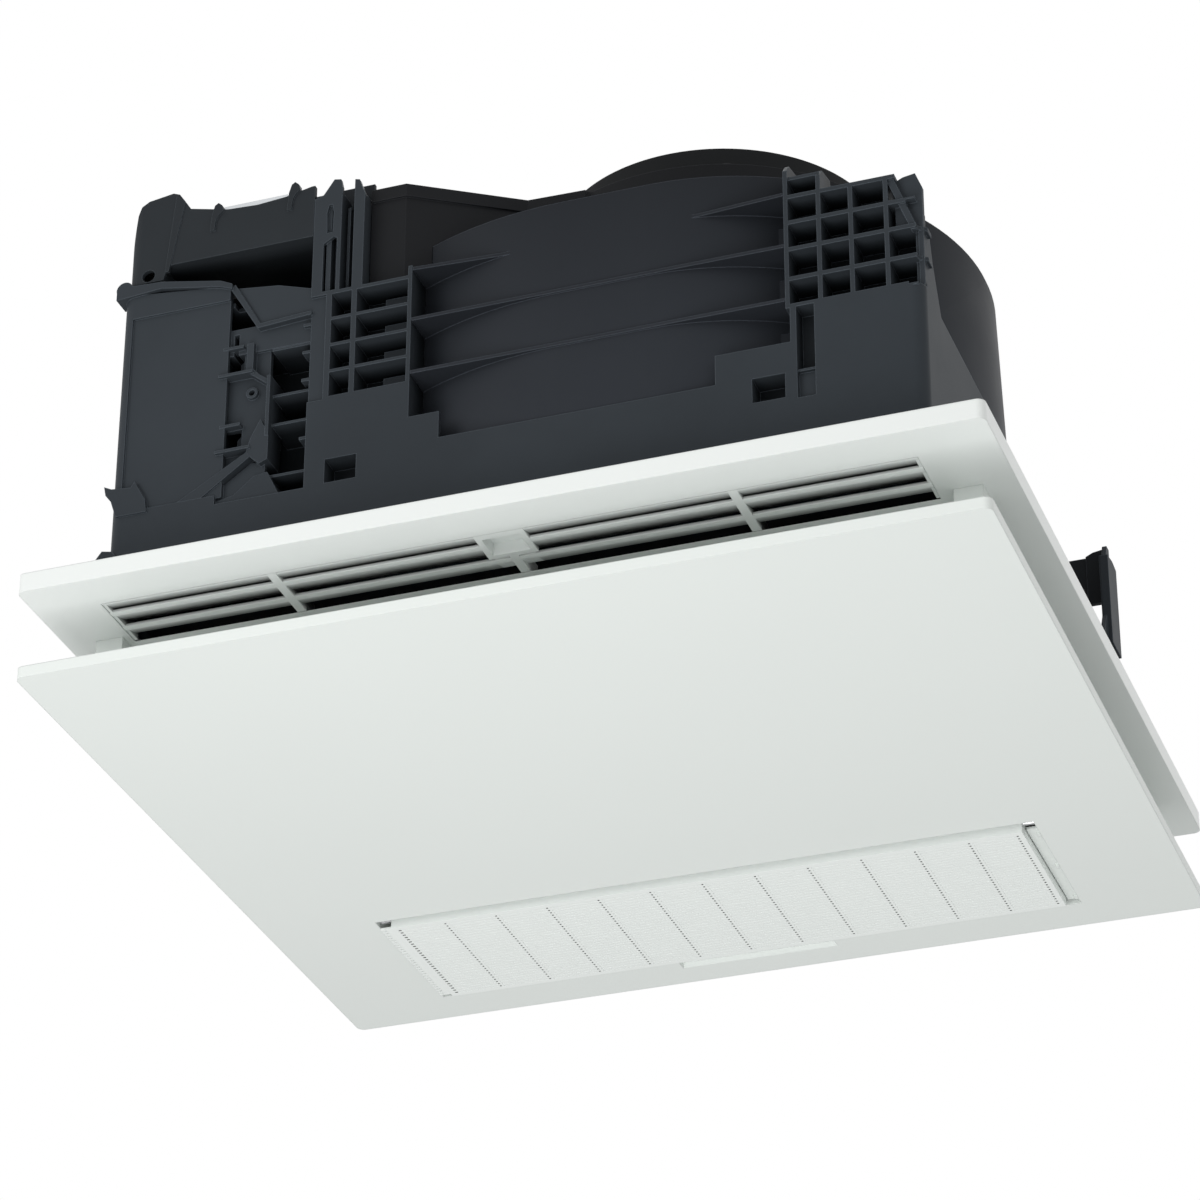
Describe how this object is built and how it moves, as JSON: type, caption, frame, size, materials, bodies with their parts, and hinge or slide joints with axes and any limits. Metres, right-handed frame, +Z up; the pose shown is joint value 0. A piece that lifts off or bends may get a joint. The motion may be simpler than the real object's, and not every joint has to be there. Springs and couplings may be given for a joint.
{
  "type": "ceiling mounted fan heater",
  "caption": "Ceiling fan heater: dark casing with round fan scroll and dome above the ceiling, white frame with slotted outlet grille and a spaced cover panel with a hinged filter below.",
  "frame": {"origin": "centre of the ceiling opening, in the plane of the ceiling's lower face", "axes": "+X runs along the outlet grille to the side away from the duct collar, +Y from the grille side to the filter side, +Z up into the ceiling"},
  "size_m": [0.4793, 0.43, 0.283],
  "materials": {
    "white_frame": "smooth white moulding",
    "white_cover": "satin white moulding",
    "filter_white": "satin white moulding",
    "net_white": "fine woven net",
    "foam": "soft foam",
    "black_casing": "satin dark grey moulding",
    "dark_fan": "satin black moulding",
    "zinc_steel": "zinc plated sheet",
    "steel": "bright steel",
    "coil": "lacquered laminations and copper",
    "rubber": "soft black rubber",
    "mica": "heat resistant moulding",
    "fins": "bare rolled aluminium",
    "brass": "bare brass",
    "board": "green solder mask",
    "blue_part": "blue relay housing",
    "tape": "yellow wound tape",
    "pale_plastic": "pale moulding"
  },
  "bodies": {
    "housing": {"frame_panel": "white_frame", "outlet_grille": "white_frame", "cover_panel": "white_cover", "intake_seal": "foam", "main_casing": "black_casing", "outlet_duct": "black_casing", "fan_deck": "black_casing", "bell_mouth": "black_casing", "scroll_casing": "black_casing", "exhaust_casing": "black_casing", "duct_box": "black_casing", "control_box": "black_casing", "exhaust_dome": "black_casing", "motor_can": "zinc_steel", "motor_end_cap": "zinc_steel", "stator": "coil", "bearings": "steel", "motor_bracket": "zinc_steel", "rubber_mounts": "rubber", "motor_screws": "steel", "motor_nuts": "steel", "heater_frame": "mica", "heater_core": "fins", "heater_terminals": "brass", "thermal_fuse": "steel", "thermostat": "dark_fan", "duct_collar": "zinc_steel", "duct_screws": "steel", "flap_pin": "steel", "damper_motor": "pale_plastic", "control_lid": "zinc_steel", "circuit_board": "board", "board_screws": "steel", "transformer": "tape", "relays": "blue_part", "capacitors": "rubber", "terminal_block": "pale_plastic", "cord_gland": "rubber", "room_sensor": "pale_plastic", "frame_screws": "steel", "casing_screws": "steel", "dome_screws": "steel", "lid_screws": "steel"},
    "fan": {"motor_shaft": "steel", "rotor": "steel", "circulation_impeller": "dark_fan", "exhaust_impeller": "dark_fan", "impeller_nuts": "steel"},
    "filter": {"filter_grille": "filter_white", "filter_net": "net_white", "filter_pins": "steel"},
    "damper": {"vent_damper": "dark_fan"},
    "flap": {"backdraft_flap": "fins"}
  },
  "joints": [
    {"name": "fan_spin", "type": "hinge", "parent": "housing", "child": "fan", "pos_m": [0.062, -0.05, 0.138], "axis": [0, 0, 1], "continuous": true},
    {"name": "filter_hinge", "type": "hinge", "parent": "housing", "child": "filter", "pos_m": [0, 0.097, -0.05], "axis": [-1, 0, 0], "range_deg": [0, 85]},
    {"name": "damper_hinge", "type": "hinge", "parent": "housing", "child": "damper", "pos_m": [-0.122, 0.071, 0.198], "axis": [0, 1, 0], "range_deg": [0, 80]},
    {"name": "flap_hinge", "type": "hinge", "parent": "housing", "child": "flap", "pos_m": [-0.2223, 0.071, 0.149], "axis": [0, 1, 0], "range_deg": [0, 75]}
  ]
}
